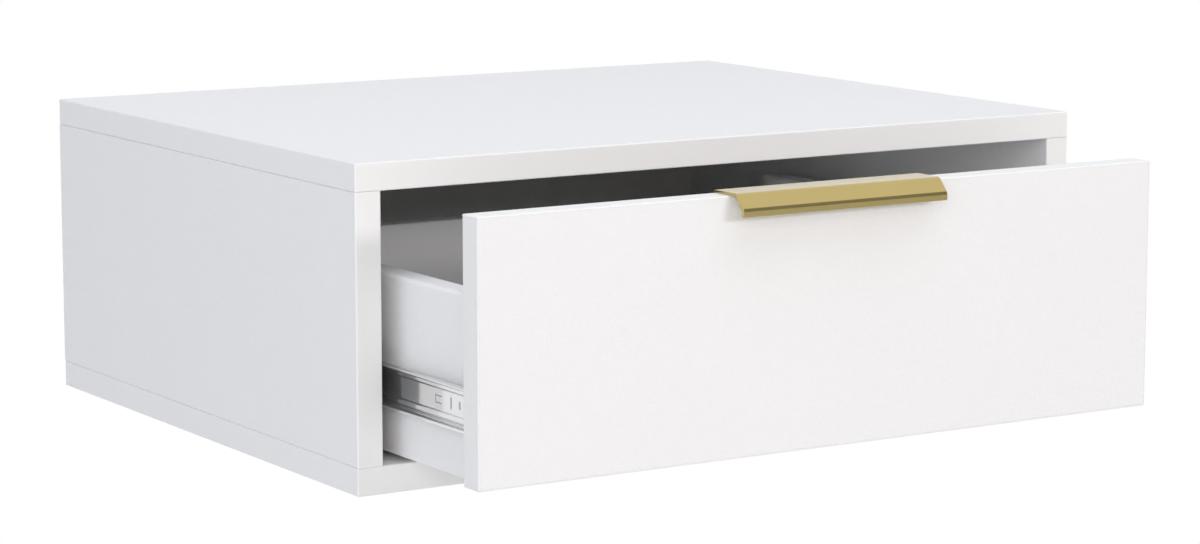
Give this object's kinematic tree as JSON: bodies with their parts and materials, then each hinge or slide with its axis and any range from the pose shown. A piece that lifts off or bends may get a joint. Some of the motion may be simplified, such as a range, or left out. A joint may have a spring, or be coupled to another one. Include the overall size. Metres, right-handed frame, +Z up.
{
  "type": "floating nightstand",
  "caption": "Wall-hung bedside cabinet in white-faced board with an inset drawer, shown part open, on telescopic ball-bearing slides, with a folded edge pull.",
  "frame": {"origin": "middle of the flat rear face that lies on the wall", "axes": "+X to the right seen from the front, +Y back into the wall, +Z up"},
  "size_m": [0.5, 0.5129, 0.186],
  "materials": {
    "white_laminate": "matt white melamine on board, fine grained",
    "white_backing": "matt white lacquer on thin fibreboard",
    "beech": "plain beech, fluted",
    "brushed_gold": "brushed and gold anodised",
    "zinc_steel": "bright zinc plate",
    "ball_steel": "bright steel, lightly oiled",
    "cast_zinc": "grey die-cast zinc",
    "black_plastic": "matt black moulding"
  },
  "bodies": {
    "cabinet": {"top_panel": "white_laminate", "bottom_panel": "white_laminate", "left_side_panel": "white_laminate", "right_side_panel": "white_laminate", "back_panel": "white_backing", "hanging_rail": "white_laminate", "left_front_cam_lock": "cast_zinc", "left_rear_cam_lock": "cast_zinc", "right_front_cam_lock": "cast_zinc", "right_rear_cam_lock": "cast_zinc", "left_front_cam_bolt": "zinc_steel", "left_rear_cam_bolt": "zinc_steel", "right_front_cam_bolt": "zinc_steel", "right_rear_cam_bolt": "zinc_steel", "left_front_dowel": "beech", "left_rear_dowel": "beech", "right_front_dowel": "beech", "right_rear_dowel": "beech", "left_front_panel_screw": "zinc_steel", "left_rear_panel_screw": "zinc_steel", "right_front_panel_screw": "zinc_steel", "right_rear_panel_screw": "zinc_steel", "left_front_cabinet_member_screw": "zinc_steel", "left_rear_cabinet_member_screw": "zinc_steel", "right_front_cabinet_member_screw": "zinc_steel", "right_rear_cabinet_member_screw": "zinc_steel", "left_cabinet_member": "zinc_steel", "right_cabinet_member": "zinc_steel"},
    "left_intermediate": {"left_intermediate_member": "zinc_steel"},
    "right_intermediate": {"right_intermediate_member": "zinc_steel"},
    "left_outer_balls": {"left_outer_ball_cage": "ball_steel"},
    "right_outer_balls": {"right_outer_ball_cage": "ball_steel"},
    "left_inner_balls": {"left_inner_ball_cage": "ball_steel"},
    "right_inner_balls": {"right_inner_ball_cage": "ball_steel"},
    "drawer": {"drawer_front": "white_laminate", "left_drawer_side": "white_laminate", "right_drawer_side": "white_laminate", "drawer_back": "white_laminate", "drawer_bottom": "white_backing", "left_drawer_cam_lock": "cast_zinc", "right_drawer_cam_lock": "cast_zinc", "left_drawer_cam_bolt": "zinc_steel", "right_drawer_cam_bolt": "zinc_steel", "left_drawer_dowel": "beech", "right_drawer_dowel": "beech", "left_lower_drawer_back_screw": "zinc_steel", "left_upper_drawer_back_screw": "zinc_steel", "right_lower_drawer_back_screw": "zinc_steel", "right_upper_drawer_back_screw": "zinc_steel", "left_front_drawer_member_screw": "zinc_steel", "left_rear_drawer_member_screw": "zinc_steel", "right_front_drawer_member_screw": "zinc_steel", "right_rear_drawer_member_screw": "zinc_steel", "pull_handle": "brushed_gold", "left_pull_screw": "zinc_steel", "right_pull_screw": "zinc_steel", "left_drawer_member": "zinc_steel", "right_drawer_member": "zinc_steel"},
    "left_lever": {"left_release_lever": "black_plastic"},
    "right_lever": {"right_release_lever": "black_plastic"}
  },
  "joints": [
    {"name": "left_intermediate_slide", "type": "slide", "parent": "cabinet", "child": "left_intermediate", "axis": [0, -1, 0], "range_m": [0, 0.175]},
    {"name": "right_intermediate_slide", "type": "slide", "parent": "cabinet", "child": "right_intermediate", "axis": [0, -1, 0], "range_m": [0, 0.175]},
    {"name": "drawer_slide", "type": "slide", "parent": "left_intermediate", "child": "drawer", "axis": [0, -1, 0], "range_m": [-0.1, 0.075]},
    {"name": "left_outer_ball_roll", "type": "slide", "parent": "cabinet", "child": "left_outer_balls", "axis": [0, -1, 0], "range_m": [0, 0.0875]},
    {"name": "right_outer_ball_roll", "type": "slide", "parent": "cabinet", "child": "right_outer_balls", "axis": [0, -1, 0], "range_m": [0, 0.0875]},
    {"name": "left_inner_ball_roll", "type": "slide", "parent": "left_intermediate", "child": "left_inner_balls", "axis": [0, -1, 0], "range_m": [-0.05, 0.0375]},
    {"name": "right_inner_ball_roll", "type": "slide", "parent": "right_intermediate", "child": "right_inner_balls", "axis": [0, -1, 0], "range_m": [-0.05, 0.0375]},
    {"name": "left_release", "type": "hinge", "parent": "drawer", "child": "left_lever", "pos_m": [-0.2254, -0.2455, -0.03355], "axis": [1, 0, 0], "range_deg": [0, 8.5], "stiffness_Nm_per_rad": 0.05},
    {"name": "right_release", "type": "hinge", "parent": "drawer", "child": "right_lever", "pos_m": [0.2254, -0.2455, -0.03355], "axis": [1, 0, 0], "range_deg": [-8.5, 0], "stiffness_Nm_per_rad": 0.05}
  ],
  "couplings": [
    {"joint": "right_intermediate_slide", "follows": "left_intermediate_slide", "ratio": 1},
    {"joint": "left_outer_ball_roll", "follows": "left_intermediate_slide", "ratio": 0.5},
    {"joint": "right_outer_ball_roll", "follows": "left_intermediate_slide", "ratio": 0.5},
    {"joint": "left_inner_ball_roll", "follows": "drawer_slide", "ratio": 0.5},
    {"joint": "right_inner_ball_roll", "follows": "drawer_slide", "ratio": 0.5}
  ]
}
